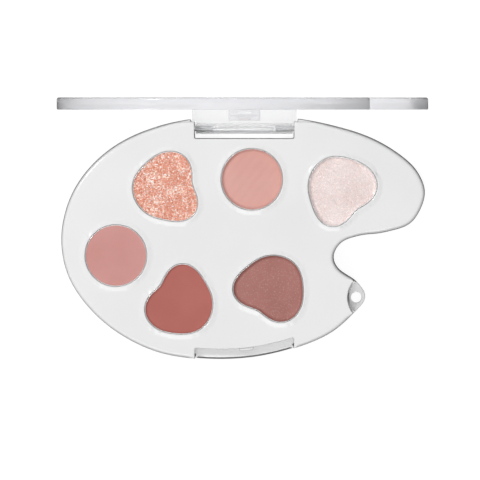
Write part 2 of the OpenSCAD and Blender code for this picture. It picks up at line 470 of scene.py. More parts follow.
def combine(obj, other, operation="UNION"):
    """Joins or cuts one solid with another, and keeps only the result."""
    m = obj.modifiers.new("combine", "BOOLEAN")
    m.object, m.operation, m.solver = other, operation, "EXACT"
    bpy.context.view_layer.update()
    done = bpy.data.meshes.new_from_object(obj.evaluated_get(bpy.context.evaluated_depsgraph_get()))
    obj.modifiers.clear()
    obj.data = done
    bpy.data.objects.remove(other)
    bm = bmesh.new()
    bm.from_mesh(done)
    bmesh.ops.remove_doubles(bm, verts=bm.verts, dist=5e-7)
    bmesh.ops.dissolve_degenerate(bm, edges=bm.edges, dist=5e-7)
    bm.to_mesh(done)
    bm.free()


def on_axis(points):
    """Turns what is drawn along Z so that it lies along the hinge's axis."""
    return np.column_stack([points[:, 2], points[:, 0] + axis_y, points[:, 1] + axis_z])


def rod(x0, x1, r):
    """A round rod along X, on the hinge's axis."""
    skin = Skin()
    unit = round_loop(40)
    low, high = skin.wall(unit * r, unit, [(0, x0), (0, x1)])
    skin.faces += [low.tolist(), high.tolist()]
    return skin.mesh("rod", on_axis)


def crease(obj, degrees=38):
    """Smooth shading, with edges sharper than this left crisp."""
    bm = bmesh.new()
    bm.from_mesh(obj.data)
    for f in bm.faces:
        f.smooth = True
    limit = math.radians(degrees)
    for e in bm.edges:
        e.smooth = not (len(e.link_faces) == 2 and e.calc_face_angle(0) > limit)
    bm.to_mesh(obj.data)
    bm.free()


# ---- the outlines

outline_loop = smooth_loop(flat_loop(frame["nodes"]["lid"], 1, lid_high[1],
                                     lambda c: (c[0], axis_y + axis_z - c[2])), 4)
outline_low, outline_high = outline_loop.min(0) - 2, outline_loop.max(0) + 2


def outline(p):
    return loop_distance(p, outline_loop)


def hinge_gap(p, width, front, r):
    """A gap that is centred on the hinge and open to the back."""
    return rectangle(p, hinge_x - width / 2, hinge_x + width / 2, front, 60, r)


def front_band(p, front, back, middle, width, r, end_r):
    """A band along the front between two depths from the outline, round at its long edges and ends."""
    d = outline(p)
    ends = np.abs(p[:, 0] - middle) - width / 2
    return both(both(d + front, -(d + back), r), ends, end_r)


def recess(p, d, grow=0.0):
    """The finger recess at the front."""
    ends = np.abs(p[:, 0] - latch_x) - recess_w / 2 - grow
    return both(both(-(d + recess_depth) - grow, ends, 0.35), p[:, 1], 0.1)


def lug_hollow(p, z, grow=0.0):
    return circle(p, clear_x, clear_y, clear_r + LEAN_LUG * max(z - lug_h, 0) + grow)


def cut_outs(p, d, z):
    """The hinge gap and the finger recess at a height: they widen upwards."""
    return np.minimum(hinge_gap(p, hinge_w, hinge_front, 0.35), recess(p, d)) - LEAN_CUT * z


def tray_region(p):
    """The tray's plan where it meets the case."""
    d = outline(p)
    out = both(d + LEAN_OUTLINE * case_h, p[:, 1] - ear_back, 0.3)
    out = without(out, cut_outs(p, d, case_h), 0.35)
    return without(out, lug_hollow(p, case_h), 0.3)


def swing(z, xy):
    """The height, lowered where it has to keep clear of the closing lid behind the hinge's axis."""
    back = np.clip(xy[:, 1] - axis_y, 0, swing_r - 0.01)
    return np.minimum(z, axis_z + np.sqrt(swing_r ** 2 - back ** 2))


def top_height(xy):
    """The tray's top: a low rim along the outline that rises softly to the plateau inside it."""
    rise = ease(-outline(xy), plateau_inset - 1.2, plateau_inset + 1.6)
    rise = rise * (1 - ease(xy[:, 1], hinge_front + 0.3, axis_y - 0.6))
    return swing(rim_h + plateau_rise * rise, xy)


def case_region(p):
    """The case's plan at its foot."""
    d = outline(p)
    out = without(d, hinge_gap(p, arm_w, ear_back, 0.3), 0.3)
    out = without(out, cut_outs(p, d, 0), 0.3)
    return without(out, lug_hollow(p, 0), 0.3)


def lean(xy, low, high):
    """How far the wall leans inwards between two heights, at each point of its edge at the lower one."""
    d = outline(xy)
    lug = 1 - ease(np.abs(lug_hollow(xy, low)), 0.05, 0.9)
    cut = 1 - ease(np.abs(cut_outs(xy, d, low)), 0.05, 0.9)
    slope = LEAN_OUTLINE + (LEAN_CUT - LEAN_OUTLINE) * cut
    above_lug = max(high - lug_h, 0) - max(low - lug_h, 0)
    return slope * (high - low) * (1 - lug) + LEAN_LUG * above_lug * lug


def cavity_region(p):
    """The hollow inside the case, which leaves blocks round the hinge, the recess and the lug."""
    d = outline(p)
    hinge = hinge_gap(p, hinge_w + 2 * hinge_block, hinge_front - 1.2, 0.5)
    out = without(d + wall_t, hinge, 0.6)
    out = without(out, recess(p, d, 1.2), 0.6)
    return without(out, lug_hollow(p, case_h, 1.4), 0.6)


def edge_radius(xy, z, big, small, reach=2.2):
    """How round the edge is at each point: more on the outer outline, less at the cut-outs."""
    d = outline(xy)
    cut = np.minimum.reduce([np.abs(cut_outs(xy, d, z)), np.abs(lug_hollow(xy, z)),
                             ear_back - xy[:, 1] + 0.4])
    return small + (big - small) * ease(cut, 0.1, reach)


pans = {}
for name in frame["nodes"]:
    if name.startswith("powder_"):
        top = node_box(name)[1][2]
        loop = smooth_loop(flat_loop(frame["nodes"][name], 2, top, lambda c: (c[0], c[1])), 4)
        loop = respace(loop, 0.35)
        side = np.roll(loop, -1, 0) - np.roll(loop, 1, 0)
        normal = np.stack([side[:, 1], -side[:, 0]], 1) / np.hypot(*side.T)[:, None]
        pans[name.removeprefix("powder_")] = (loop, normal, top)
pans = dict(sorted(pans.items()))


# ---- the tray

def make_tray():
    skin = Skin()
    loop, normal = trace(tray_region, outline_low, outline_high)[0]
    r = edge_radius(loop, case_h, 1.05, 0.25)
    tilt = lean(loop, case_h, rim_h)
    side = [(inset, case_h + rise) for inset, rise in reversed(seam)]
    bottom, rim = skin.wall(loop, normal, side + arc(r, top_height, tilt, steps=8))
    top = rim_h + plateau_rise
    lips, cups = [], []
    for loop, normal, _ in pans.values():
        well = pan_wall + 0.5 * pan_gap
        lip = hollow(arc(0.3, top, well))[::-1]
        first, low = skin.wall(loop, normal, [(-well - 0.42, top)] + lip
                               + [(-well, well_floor + 0.25), (-well + 0.25, well_floor)])
        lips.append(first)
        skin.fill(low, gap=2.5)
        cup = well + cup_wall
        first, low = skin.wall(loop, normal, [(-cup, case_h), (-cup, well_floor - cup_wall + 0.4),
                                              (-cup + 0.4, well_floor - cup_wall)])
        cups.append(first)
        skin.fill(low, gap=2.5)
    skin.fill(rim, lips, 0.8, top_height)

    unit = round_loop(20)
    for x, y in posts:
        tip = case_h - peg_l
        first, low = skin.wall(unit * peg_r + (x, y), unit,
                               [(0, case_h), (0, tip + 0.3), (0.25, tip)])
        cups.append(first)
        skin.faces.append(low.tolist())
    skin.fill(bottom, cups, 3.0)
    tray = skin.mesh("tray_shell")

    def nub_region(p):
        return front_band(p, recess_depth - catch_reach, recess_depth + 0.25, catch_x, catch_w,
                          0.2, 0.25)

    edges = arc(0.15, catch_low, upward=False, steps=3)[::-1] + arc(0.3, catch_low + catch_h)
    combine(tray, block("nub", nub_region, ((-4, -36), (6, -30)), (0.2, 0.25, 0.8), edges, 0.8))
    crease(tray)
    return tray


# ---- the case

def make_case():
    skin = Skin()
    loop, normal = trace(case_region, outline_low, outline_high)[0]
    r = edge_radius(loop, 0, 0.9, 0.05, 3.0)
    top = lean(loop, 0, case_h)
    side = [(top + inset, case_h - drop) for inset, drop in seam]
    low, rim = skin.wall(loop, normal, arc(r, 0, upward=False, steps=6)[::-1] + side)

    label_low, label_high = node_box("bottom_label")
    margin = 0.2

    def pocket_region(p):
        return rectangle(p, label_low[0] - margin, label_high[0] + margin,
                         label_low[1] - margin, label_high[1] + margin, 2.2)

    edge, out = trace(pocket_region, label_low[:2] - 3, label_high[:2] + 3, 0.8, 1.2, 1.5)[0]
    mouth, deep = skin.wall(edge, out, [(-0.12, 0), (0, 0.1), (0, 0.3)])
    skin.fill(low, [mouth], 3.0)
    skin.fill(deep, gap=3.0)

    loop, normal = trace(cavity_region, outline_low, outline_high, gap=0.9)[0]
    mouth, foot = skin.wall(loop, normal, [(0, case_h), (0, floor_t + 0.6), (0.18, floor_t + 0.18),
                                           (0.6, floor_t)])
    skin.fill(rim, [mouth], 3.0)
    unit = round_loop(20)
    feet = []
    for x, y in posts:
        first, low = skin.wall(unit + (x, y), unit, [
            (-post_wall - 0.2, floor_t), (-post_wall, floor_t + 0.2), (-post_wall, post_top - 0.2),
            (-post_wall + 0.2, post_top), (0, post_top), (0, peg_hole_floor)])
        feet.append(first)
        skin.faces.append(low.tolist())
    skin.fill(foot, feet, 3.0)
    case = skin.mesh("case_shell")

    lug = Skin()

    def lug_region(p):
        return both(outline(p) + 0.03, lug_hollow(p, lug_h, 1.2), 0.5)

    loop, normal = trace(lug_region, (30, -27), (42, -8), 0.5, 0.3, 1.2)[0]
    low, high = lug.wall(loop, normal, arc(0.4, 0.02, upward=False)[::-1] + arc(0.35, lug_h))
    unit = round_loop(48)
    hole = [(-0.15, 0.02), (-0.04, 0.06), (0, 0.17), (0, lug_h - 0.15), (-0.04, lug_h - 0.04),
            (-0.15, lug_h)]
    under, over = lug.wall(unit * lug_r + (lug_x, lug_y), unit, hole)
    lug.fill(low, [under], 0.8)
    lug.fill(high, [over], 0.8)
    combine(case, lug.mesh("lug"))

    ledge = Skin()

    def ledge_region(p):
        band = front_band(p, recess_setback, recess_depth + 0.9, latch_x, recess_w + 0.6, 0.35, 0.2)
        return both(band, p[:, 1], 0.1)

    loop, normal = trace(ledge_region, (-18, -40), (18, -25), 0.4, 0.4, 1.2)[0]
    front = ease(outline(loop), -2.5, -0.8)
    low, high = ledge.wall(loop, normal, arc(0.35, 0.02, upward=False)[::-1]
                           + arc(0.2, ledge_h, 0.65 * front))
    ledge.fill(low, gap=1.0)
    ledge.fill(high, gap=1.0)
    combine(case, ledge.mesh("ledge"))
    combine(case, rod(-60, 60, bore_r), "DIFFERENCE")
    crease(case)
    return case


# ---- the lid, drawn closed and then opened

def opened(points):
    """Turns the closed lid back through a right angle about the hinge's axis."""
    return np.column_stack([points[:, 0], axis_y + points[:, 2] - axis_z,
                            axis_z + axis_y - points[:, 1]])


def across(points):
    """A profile drawn in (y, z), carried along X."""
    return opened(np.column_stack([points[:, 2], points[:, 0], points[:, 1]]))


def bar(region, low, high, x0, x1, r):
    """A bar along X with a given cross-section and rounded ends."""
    edges = arc(r, x0, upward=False, steps=3)[::-1] + arc(r, x1, steps=3)
    return block("bar", region, (low, high), (0.25, 0.35, 0.9), edges, 0.8, across)


def make_lid():
    skin = Skin()

    def plate_region(p):
        return both(outline(p) - lid_over, p[:, 1] - lid_back, 0.4)

    def inner_region(p):
        return both(outline(p) + lid_rim - lid_over, p[:, 1] - arm_front + 0.4, 1.0)

    loop, normal = trace(plate_region, outline_low, outline_high, gap=0.6)[0]
    low, high = skin.wall(loop, normal, arc(0.3, lid_bottom, upward=False, steps=3)[::-1]
                          + arc(0.7, lid_top, steps=7))
    skin.fill(high, gap=3.0)
    loop, normal = trace(inner_region, outline_low, outline_high, gap=0.6)[0]
    ceiling = lid_top - lid_plate
    mouth = hollow(arc(0.3, lid_bottom, upward=False, steps=4))[::-1]
    corner = [(0.5 - 0.5 * math.cos(t), ceiling - 0.5 + 0.5 * math.sin(t))
              for t in np.linspace(0, math.pi / 2, 5)]
    lip, deep = skin.wall(loop, normal, mouth + corner)
    skin.fill(low, [lip], 3.0)
    skin.fill(deep, gap=3.0)
    lid = skin.mesh("lid_shell", opened)

    top = lid_bottom + 0.06

    def arm_region(p):
        return rectangle(p, arm_front, lid_back - 0.02, arm_low, top, 0.3)

    def web_region(p):
        web = rectangle(p, web_front, lid_back - 0.04, axis_z, top - 0.02, 0.3)
        return either(web, circle(p, axis_y, axis_z, knuckle_r), 0.35)

    x0, x1 = hinge_x - hinge_w / 2 + side_gap, hinge_x + hinge_w / 2 - side_gap
    combine(lid, bar(web_region, (29, 1), (39, 12), x0, x1, 0.2))
    x0, x1 = hinge_x - arm_w / 2 + side_gap, hinge_x + arm_w / 2 - side_gap
    combine(lid, bar(arm_region, (34, 4), (39, 12), x0, x1, 0.2))
    for side in (-1, 1):
        end = hinge_x + side * (hinge_w / 2 + 2)
        deep = hinge_x + side * (hinge_w / 2 - socket_l)
        combine(lid, rod(min(end, deep), max(end, deep), socket_r), "DIFFERENCE")

    def tab_region(p):
        return both(front_band(p, tab_front, tab_back, latch_x, tab_w, 0.25, 0.25), p[:, 1], 0.1)

    edges = arc(0.25, lid_bottom - tab_drop, upward=False, steps=4)[::-1] + [(0, lid_bottom + 0.5)]
    combine(lid, block("tab", tab_region, ((-6, -40), (8, -30)), (0.2, 0.3, 0.9), edges, 0.8, opened))

    def bead_region(p):
        return both(front_band(p, bead_front, bead_back, latch_x, bead_w, 0.15, 0.2), p[:, 1], 0.1)

    bead_low = lid_bottom - tab_drop + 0.1
    edges = arc(0.2, bead_low, upward=False, steps=3)[::-1] + arc(0.2, bead_low + bead_h, steps=3)
    combine(lid, block("bead", bead_region, ((-3, -40), (4, -30)), (0.15, 0.2, 0.6), edges, 0.5,
                       opened))

    crease(lid, 30)
    return lid


# ---- pins, pans and powders

def make_pin(name, side):
    """A pin that is smooth in the case's ear and has a diamond knurl in the lid's knuckle."""
    low, high = node_box(f"hinge_pin_{name}")
    sides, starts, pitch = 72, 6, 1.05
    pin_l, knurl_l = high[0] - low[0], 4.6
    knurl_root, knurl_rise = 0.70, 0.20
    turns = np.arange(sides) * 2 * np.pi / sides
    inner, outer = (high[0], low[0]) if side < 0 else (low[0], high[0])
    way = 1 if outer > inner else -1
    skin = Skin()
    rings = []
    steps = [(0.0, pin_r - 0.25), (0.08, pin_r - 0.05)]
    steps += [(x, None) for x in np.arange(0.16, knurl_l, 0.08)]
    steps += [(knurl_l, pin_r - 0.02), (knurl_l + 0.12, pin_r), (8.0, pin_r), (pin_l - 0.4, pin_r),
              (pin_l - 0.15, pin_r - 0.08), (pin_l, pin_r - 0.3)]
    for x, r in steps:
        if r is None:
            wave = [np.abs((starts * (turns / (2 * np.pi)) + s * x / pitch) % 1 - 0.5) * 2
                    for s in (-1, 1)]
            r = knurl_root + knurl_rise * np.minimum(*wave)
        xy = round_loop(sides) * np.broadcast_to(r, sides)[:, None]
        rings.append(skin.ring(xy, inner + way * x))
    for a, b in zip(rings, rings[1:]):
        skin.band(a, b)
    skin.faces += [rings[0].tolist(), rings[-1].tolist()]
    pin = skin.mesh(f"pin_{name}", on_axis)
    crease(pin, 40)
    return pin


def make_pan(shade):
    loop, normal, _ = pans[shade]
    skin = Skin()
    outside = arc(0.45, pan_floor, -pan_wall, upward=False)[::-1]
    lip = [(-pan_wall, pan_top - 0.14), (-pan_wall + 0.03, pan_top - 0.04), (-0.2, pan_top),
           (-0.11, pan_top - 0.03), (-0.1, pan_top - 0.12)]
    floor = pan_floor + pan_wall
    inner = [(-0.1, floor + 0.35), (0.25, floor)]
    under, above = skin.wall(loop, normal, outside + lip + inner)
    skin.fill(under, gap=3.0)
    skin.fill(above, gap=3.0)
    pan = skin.mesh(f"pan_shell_{shade}")
    crease(pan, 50)
    return pan


# Shade: height of the grain and of the middle's dome, how far the powder climbs the pan's wall, how
# wide the fillet there is, and the gap between the surface's points, all in mm
POWDER_SHAPE = {
    "soft_pink": dict(rough=0.010, dome=0.02, climb=0.75, fillet=0.85, gap=0.45),
    "dusty_rose": dict(rough=0.006, dome=0.03, climb=0.04, fillet=0.4, gap=0.45),
    "coral_glitter": dict(rough=0.075, dome=0.10, climb=0.2, fillet=0.5, gap=0.22),
    "pale_shimmer": dict(rough=0.022, dome=0.10, climb=0.45, fillet=0.9, gap=0.32),
    "brick_red": dict(rough=0.006, dome=0.04, climb=0.35, fillet=0.6, gap=0.45),
    "mauve_brown": dict(rough=0.010, dome=0.06, climb=0.75, fillet=0.85, gap=0.40),
}


def soft_noise(p, size, seed):
    """Smooth random heights from -1 to 1, with features of a given size."""
    r = np.random.default_rng(seed)
    total = np.zeros(len(p))
    for _ in range(14):
        a = r.uniform(0, 2 * np.pi)
        k = 2 * np.pi / size * r.uniform(0.6, 1.5)
        total += np.sin(p[:, 0] * k * np.cos(a) + p[:, 1] * k * np.sin(a)
                        + r.uniform(0, 2 * np.pi))
    return total / 5


def make_powder(shade, number):
    loop, normal, top = pans[shade]
    shape = POWDER_SHAPE[shade]
    centre = loop.mean(0)
    reach = np.hypot(*(loop - centre).T).max()
    local = np.random.default_rng(100 + number)

    def height(xy):
        d = np.hypot(*(xy - centre).T) / reach
        z = top + shape["dome"] * (1 - d ** 2) - shape["dome"] * 0.6
        z = z + shape["rough"] * soft_noise(xy, 0.9, 10 + number)
        z = z + 0.02 * soft_noise(xy, 7.0, 30 + number)
        if shade == "coral_glitter":
            z = z + local.uniform(-0.05, 0.05, len(xy))
        return np.minimum(z, pan_top - 0.05)

    skin = Skin()
    low = pan_floor + pan_wall + 0.01
    climb = shape["climb"]
    profile = [(0.3, low), (-0.08, low + 0.36), (-0.08, top + climb * 0.5),
               (-0.08, top + climb), (-0.02, top + climb * 0.97)]
    profile += [(0.02 + shape["fillet"] * t, lambda xy, t=t: height(xy) + (climb * 0.9) * (1 - t) ** 2)
                for t in (0, 0.15, 0.3, 0.5, 0.75, 1)]
    under, edge = skin.wall(loop, normal, profile)
    skin.fill(under, gap=3.0)
    skin.fill(edge, gap=shape["gap"], height=height)
    powder = skin.mesh(f"powder_bed_{shade}")
    crease(powder, 60)
    return powder


# ---- materials

class Paint:
    """A material's node tree, with short ways to add the nodes that it needs."""

    def __init__(self, name, **sockets):
        self.material = bpy.data.materials.new(name)
        self.material.use_nodes = True
        self.tree = self.material.node_tree
        self.shader = self.tree.nodes["Principled BSDF"]
        for key, value in sockets.items():
            self.shader.inputs[key.replace("_", " ")].default_value = value
        self.texture = self.add("ShaderNodeTexCoord")
        self.place = self.texture.outputs["Object"]

    def add(self, kind, links=(), **settings):
        node = self.tree.nodes.new(kind)
        for key, value in settings.items():
            if key in ("operation", "bands_direction"):
                setattr(node, key, value)
            else:
                node.inputs[key].default_value = value
        for socket, source in dict(links).items():
            self.tree.links.new(source, node.inputs[socket])
        return node

    def set(self, socket, source):
        self.tree.links.new(source, self.shader.inputs[socket])

    def noise(self, size_mm, detail=2.0, roughness=0.5, place=None):
        node = self.add("ShaderNodeTexNoise", {"Vector": place or self.place},
                        Scale=1 / (size_mm * MM), Detail=detail, Roughness=roughness)
        return node.outputs["Fac"]

    def spread(self, source, low, high, to_low, to_high):
        """A value mapped from one range to another, held inside it."""
        node = self.add("ShaderNodeMapRange", {"Value": source})
        for key, value in (("From Min", low), ("From Max", high), ("To Min", to_low),
                           ("To Max", to_high)):
            node.inputs[key].default_value = value
        return node.outputs["Result"]

    def maths(self, operation, a, b):
        node = self.add("ShaderNodeMath", operation=operation)
        for k, value in enumerate((a, b)):
            if isinstance(value, (int, float)):
                node.inputs[k].default_value = value
            else:
                self.tree.links.new(value, node.inputs[k])
        return node.outputs[0]

    def mix(self, fac, a, b, blend="MIX"):
        node = self.tree.nodes.new("ShaderNodeMix")
        node.data_type, node.blend_type = "RGBA", blend
        for socket, value in ((0, fac), (6, a), (7, b)):
            if isinstance(value, bpy.types.NodeSocket):
                self.tree.links.new(value, node.inputs[socket])
            else:
                node.inputs[socket].default_value = value
        return node.outputs[2]

    def bump(self, source, depth_mm, before=None):
        node = self.add("ShaderNodeBump", {"Height": source}, Distance=depth_mm * MM)
        if before is not None:
            self.tree.links.new(before, node.inputs["Normal"])
        return node.outputs["Normal"]


def grey(v):
    return (v, v, v, 1)


def white_plastic(name, light, dark, rough, wave_mm):
    p = Paint(name)
    cloud = p.spread(p.noise(26, 2), 0.35, 0.65, 0, 1)
    p.set("Base Color", p.mix(cloud, dark, light))
    p.set("Roughness", p.spread(p.noise(3.5, 4, 0.6), 0.3, 0.7, rough[0], rough[1]))
    wave = p.bump(p.noise(17, 1), wave_mm)
    p.set("Normal", p.bump(p.noise(0.5, 3, 0.6), 0.0012, wave))
    p.shader.inputs["Coat Weight"].default_value = 0.25
    p.shader.inputs["Coat Roughness"].default_value = 0.06
    return p.material


def clear_acrylic():
    """Polished on the plate's two broad faces, satin on its edges, faintly milky at the hinge."""
    p = Paint("clear_acrylic", IOR=1.49)
    smudge = p.spread(p.noise(9, 5, 0.65), 0.45, 0.8, 0, 1)
    facing = p.add("ShaderNodeSeparateXYZ", {"Vector": p.texture.outputs["Normal"]}).outputs["Y"]
    facing = p.maths("ABSOLUTE", facing, 0.0)
    where = p.add("ShaderNodeSeparateXYZ", {"Vector": p.place}).outputs["Y"]
    low = (axis_y + lid_bottom - axis_z) * MM
    plate = p.spread(where, low - 0.0002, low, 0, 1)
    broad = p.maths("MULTIPLY", p.spread(facing, 0.55, 0.85, 0, 1), plate)
    edge = p.maths("SUBTRACT", plate, broad)
    milk = p.spread(plate, 0, 1, 0.14, 0.0)
    p.set("Transmission Weight", p.maths("SUBTRACT", p.spread(edge, 0, 1, 1.0, 0.45), milk))
    # The edges' darker colour is partly the acrylic's own tint and partly painted shade that greys the strip seen
    # edge on
    edge_tint_and_shade = p.mix(smudge, (0.865, 0.865, 0.89, 1), (0.845, 0.845, 0.87, 1))
    clear = p.mix(smudge, (0.90, 0.902, 0.908, 1), (0.88, 0.882, 0.89, 1))
    p.set("Base Color", p.mix(edge, clear, edge_tint_and_shade))
    satin = p.maths("ADD", p.spread(edge, 0, 1, 0.0, 0.16), p.spread(plate, 0, 1, 0.004, 0.0))
    p.set("Roughness", p.maths("ADD", satin, p.maths("MULTIPLY", smudge, 0.008)))
    p.set("Normal", p.bump(p.noise(0.3, 2), 0.00002))
    body = p.add("ShaderNodeVolumeAbsorption", Color=(0.66, 0.67, 0.70, 1), Density=5.0)
    p.tree.links.new(body.outputs[0], p.tree.nodes["Material Output"].inputs["Volume"])
    return p.material


def knurled_steel():
    p = Paint("knurled_steel", Metallic=1.0, IOR=2.5)
    wear = p.noise(0.25, 4, 0.7)
    p.set("Base Color", p.mix(wear, (0.36, 0.36, 0.37, 1), (0.66, 0.66, 0.67, 1)))
    p.set("Roughness", p.spread(wear, 0.3, 0.7, 0.22, 0.45))
    p.set("Normal", p.bump(p.noise(0.08, 2), 0.004))
    return p.material


def bright_aluminium():
    p = Paint("bright_aluminium", Metallic=1.0)
    stretch = p.add("ShaderNodeMapping", {"Vector": p.place})
    stretch.inputs["Scale"].default_value = (1, 6, 1)
    brushed = p.noise(0.4, 4, 0.6, stretch.outputs[0])
    p.set("Base Color", p.mix(brushed, (0.66, 0.69, 0.70, 1), (0.84, 0.86, 0.87, 1)))
    p.set("Roughness", p.spread(brushed, 0.3, 0.7, 0.2, 0.38))
    p.set("Normal", p.bump(brushed, 0.002))
    return p.material


def satin_label():
    p = Paint("satin_label", Roughness=0.45)
    fibre = p.noise(0.35, 5, 0.7)
    p.set("Base Color", p.mix(fibre, (0.80, 0.80, 0.79, 1), (0.9, 0.9, 0.89, 1)))
    p.set("Roughness", p.spread(fibre, 0.3, 0.7, 0.38, 0.55))
    p.set("Normal", p.bump(fibre, 0.004, p.bump(p.noise(6, 2), 0.03)))
    return p.material


def hot_glue():
    p = Paint("hot_glue", IOR=1.48, Subsurface_Weight=0.2)
    p.shader.inputs["Subsurface Radius"].default_value = (0.002, 0.0015, 0.001)
    cloud = p.noise(1.6, 4, 0.6)
    p.set("Base Color", p.mix(cloud, (0.74, 0.70, 0.58, 1), (0.88, 0.86, 0.78, 1)))
    p.set("Roughness", p.spread(cloud, 0.3, 0.7, 0.25, 0.5))
    p.set("Normal", p.bump(cloud, 0.06))
    return p.material


def linear(r, g, b):
    """A colour given as it looks on a screen, from 0 to 255."""
    return tuple(((c / 255 + 0.055) / 1.055) ** 2.4 for c in (r, g, b)) + (1,)


def matte_powder(name, light, dark, lines=0.0):
    """Pressed powder with a fine grain and, where asked for, fine slanting lines."""
    p = Paint(name, Specular_IOR_Level=0.25, Sheen_Weight=0.15, Sheen_Roughness=0.4)
    p.shader.inputs["Sheen Tint"].default_value = light
    grain = p.noise(0.22, 4, 0.75)
    patch = p.noise(11, 2, 0.5)
    base = p.mix(p.spread(patch, 0.3, 0.7, 0, 0.7), dark, light)
    speck = p.spread(grain, 0.35, 0.65, 0.95, 1.04)
    shade = p.add("ShaderNodeCombineColor", {"Red": speck, "Green": speck, "Blue": speck})
    p.set("Base Color", p.mix(1.0, base, shade.outputs[0], "MULTIPLY"))
    p.set("Roughness", p.spread(grain, 0.3, 0.7, 0.75, 0.95))
    normal = p.bump(grain, 0.012)
    if lines:
        turn = p.add("ShaderNodeMapping", {"Vector": p.place})
        turn.inputs["Rotation"].default_value = (0, 0, math.radians(38))
        wave = p.add("ShaderNodeTexWave", {"Vector": turn.outputs[0]}, Scale=130.0,
                     Distortion=0.6, Detail=2.0, bands_direction="X")
        normal = p.bump(wave.outputs["Fac"], lines, normal)
    p.set("Normal", normal)
    return p.material


def flakes(p, size_mm, tilt, surface):
    """Random flat flakes: three random numbers for each, and normals tilted flake by flake."""
    cell = p.add("ShaderNodeTexVoronoi", {"Vector": p.place}, Scale=1 / (size_mm * MM))
    way = p.add("ShaderNodeVectorMath", {0: cell.outputs["Color"]}, operation="SUBTRACT")
    way.inputs[1].default_value = (0.5, 0.5, 0.5)
    way = p.add("ShaderNodeVectorMath", {0: way.outputs[0]}, operation="SCALE", Scale=tilt)
    way = p.add("ShaderNodeVectorMath", {0: way.outputs[0], 1: surface}, operation="ADD")
    way = p.add("ShaderNodeVectorMath", {0: way.outputs[0]}, operation="NORMALIZE")
    pick = p.add("ShaderNodeSeparateColor", {"Color": cell.outputs["Color"]})
    return pick.outputs, way.outputs[0]


def ramp(p, source, stops):
    """Colours in steps: each holds from its place to the next one's."""
    node = p.add("ShaderNodeValToRGB", {"Fac": source})
    node.color_ramp.interpolation = "CONSTANT"
    node.color_ramp.elements.remove(node.color_ramp.elements[1])
    for k, (at, colour) in enumerate(stops):
        e = node.color_ramp.elements[0] if k == 0 else node.color_ramp.elements.new(at)
        e.position, e.color = at, colour
    return node.outputs["Color"]


def glitter_powder():
    p = Paint("powder_coral_glitter", Specular_IOR_Level=0.6)
    grain = p.noise(0.3, 4, 0.7)
    clump = p.spread(p.noise(2.6, 3, 0.6), 0.35, 0.65, -0.22, 0.22)
    surface = p.bump(grain, 0.03)
    small, lean = flakes(p, 0.23, 0.7, surface)
    large, _ = flakes(p, 0.38, 0.7, surface)
    body = p.mix(p.spread(p.noise(0.9, 4, 0.7), 0.3, 0.7, 0, 1), linear(206, 118, 90),
                 linear(228, 154, 130))
    fine = ramp(p, small[1], [(0, linear(226, 146, 118)), (0.25, linear(240, 186, 168)),
                              (0.5, linear(255, 232, 224)), (0.7, linear(214, 128, 98)),
                              (0.85, linear(244, 196, 174))])
    coarse = ramp(p, large[1], [(0, linear(255, 240, 234)), (0.35, linear(248, 196, 178)),
                                (0.65, linear(255, 226, 206))])
    picked = p.maths("ADD", small[0], clump)
    colour = p.mix(p.spread(picked, 0.44, 0.46, 0, 1), body, fine)
    picked = p.maths("ADD", large[0], clump)
    p.set("Base Color", p.mix(p.spread(picked, 0.86, 0.88, 0, 1), colour, coarse))
    p.set("Metallic", p.spread(small[0], 0.70, 0.72, 0, 0.4))
    p.set("Roughness", p.spread(small[0], 0.44, 0.46, 0.55, 0.25))
    p.set("Normal", lean)
    return p.material


def pearly_powder(name, light, dark, size, tilt, share, glint, metallic, rough):
    """Pressed powder with pearl flakes: their size and tilt, the share without them, and their shine."""
    p = Paint(name, Specular_IOR_Level=0.4, Sheen_Weight=0.1, Sheen_Roughness=0.35)
    grain = p.noise(0.25, 4, 0.7)
    pick, lean = flakes(p, size, tilt, p.bump(grain, 0.012))
    body = p.mix(p.spread(p.noise(8, 2, 0.5), 0.3, 0.7, 0, 1), dark, light)
    on = p.spread(pick[0], share, share + 0.02, 0, glint)
    p.set("Base Color", p.mix(on, body, (1, 0.97, 0.95, 1)))
    p.set("Metallic", p.spread(pick[0], share, share + 0.02, 0, metallic))
    p.set("Roughness", p.spread(grain, 0.3, 0.7, *rough))
    p.set("Normal", lean)
    return p.material


MATERIALS = {
    # The case's white is brighter than the tray's: partly the plastic's own white, partly painted light that lifts
    # the shaded ledge in the finger recess and the lug in its hollow
    "case_shell": white_plastic("white_case", grey(0.955), grey(0.935), (0.16, 0.26), 0.05),
    "tray_shell": white_plastic("white_tray", grey(0.815), grey(0.79), (0.14, 0.24), 0.09),
    "lid_shell": clear_acrylic(),
    "pin": knurled_steel(),
    "pan": bright_aluminium(),
    "label": satin_label(),
    "glue": hot_glue(),
    "soft_pink": matte_powder("powder_soft_pink", linear(218, 168, 159), linear(212, 158, 149),
                              lines=0.05),
    "dusty_rose": matte_powder("powder_dusty_rose", linear(207, 152, 147), linear(200, 143, 137)),
    "coral_glitter": glitter_powder(),
    "pale_shimmer": pearly_powder("powder_pale_shimmer", linear(240, 222, 219),
                                  linear(228, 204, 200), size=0.24, tilt=0.7, share=0.55,
                                  glint=0.45, metallic=0.35, rough=(0.35, 0.5)),
    "brick_red": matte_powder("powder_brick_red", linear(182, 110, 101), linear(172, 101, 93)),
    "mauve_brown": pearly_powder("powder_mauve_brown", linear(168, 112, 104),
                                 linear(158, 102, 94), size=0.22, tilt=0.14, share=0.90,
                                 glint=0.10, metallic=0.05, rough=(0.42, 0.6)),
}


# ---- putting it together

def dress(piece, material, body, node):
    piece.data.materials.clear()
    piece.data.materials.append(MATERIALS[material])
    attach(piece, body)
    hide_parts(node)


